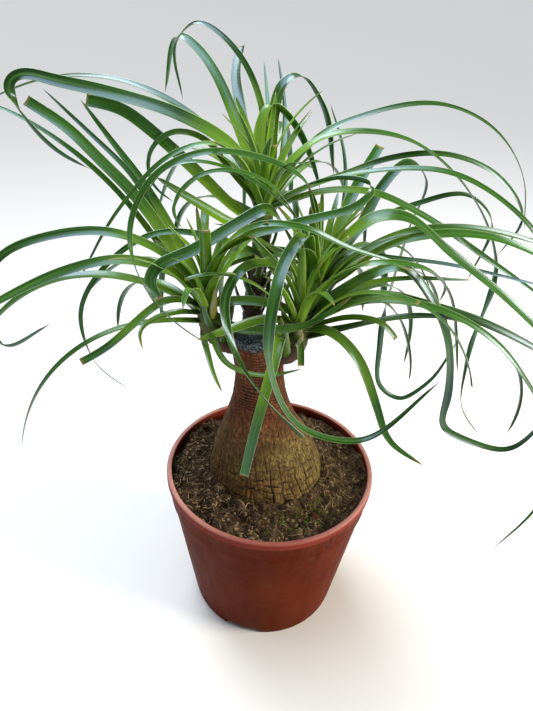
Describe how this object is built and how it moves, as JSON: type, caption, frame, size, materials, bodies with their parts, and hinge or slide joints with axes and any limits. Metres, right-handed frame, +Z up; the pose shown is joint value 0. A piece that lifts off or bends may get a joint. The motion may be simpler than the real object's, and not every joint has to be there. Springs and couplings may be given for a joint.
{
  "type": "potted ponytail palm",
  "caption": "Ponytail palm with a swollen bare trunk and four shoots of long arching leaves, in a round terracotta-coloured plastic nursery pot.",
  "frame": {"origin": "centre of the pot's underside, on the surface it stands on", "axes": "+Z up along the pot's axis, -Y towards the viewer of the picture, +X to the right"},
  "size_m": [0.5065, 0.2803, 0.4504],
  "materials": {
    "pot_plastic": "moulded polypropylene, satin, terracotta colour",
    "compost": "peat and bark compost, rough and damp",
    "bark": "cracked corky bark",
    "leaf": "living leaf, waxy, satin"
  },
  "bodies": {
    "root": {"pot": "pot_plastic", "soil": "compost", "trunk": "bark", "shoot_left": "leaf", "shoot_back": "leaf", "shoot_right_back": "leaf", "shoot_right_front": "leaf"}
  },
  "joints": []
}
